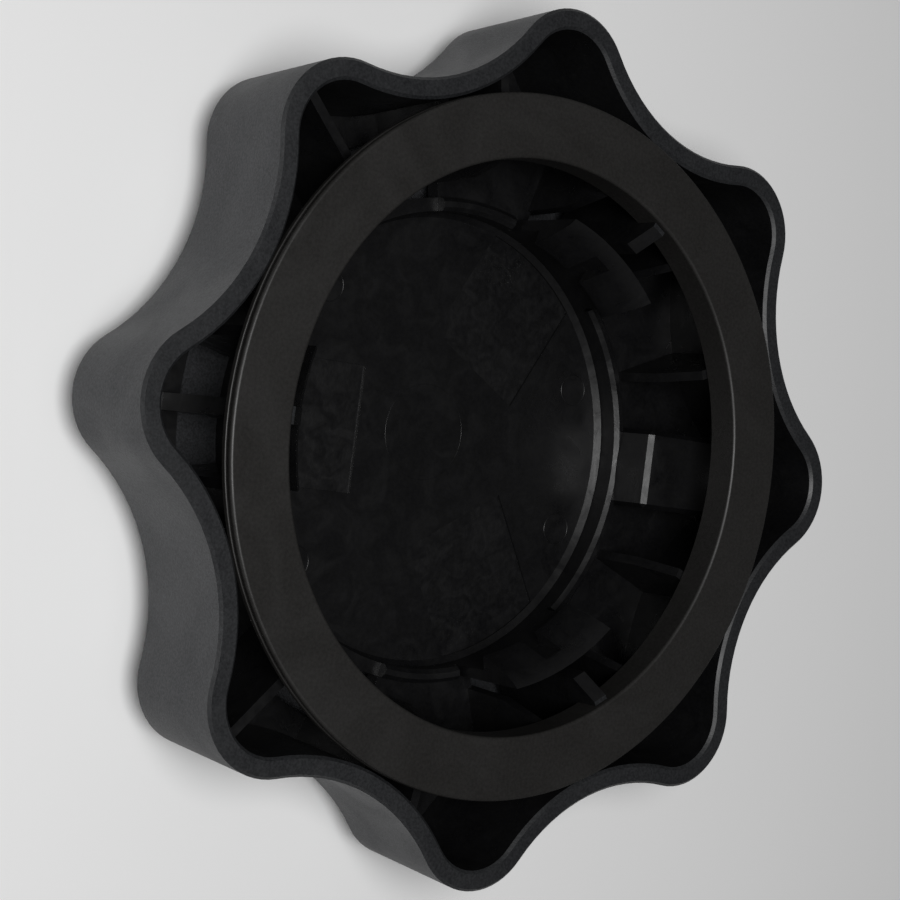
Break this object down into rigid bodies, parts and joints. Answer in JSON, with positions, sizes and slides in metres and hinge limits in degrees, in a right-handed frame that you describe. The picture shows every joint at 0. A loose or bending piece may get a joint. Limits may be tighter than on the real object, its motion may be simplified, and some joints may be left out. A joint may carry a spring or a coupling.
{
  "type": "star knob",
  "caption": "Hollow lobed star knob with snap clips, a key block and ribs inside, a flat bearing ring round its open side and a closed face.",
  "frame": {"origin": "centre of the closed face, on the surface the knob lies on", "axes": "+Z along the knob's axis, out of the open underside; +X from the axis to the key block, which points at a lobe"},
  "size_m": [0.107, 0.107, 0.0236],
  "materials": {
    "grip_plastic": "satin, fine spark-eroded texture outside",
    "ring_plastic": "satin",
    "cap_plastic": "satin"
  },
  "bodies": {
    "root": {"star_grip": "grip_plastic", "bearing_ring": "ring_plastic", "cover_cap": "cap_plastic"}
  },
  "joints": []
}
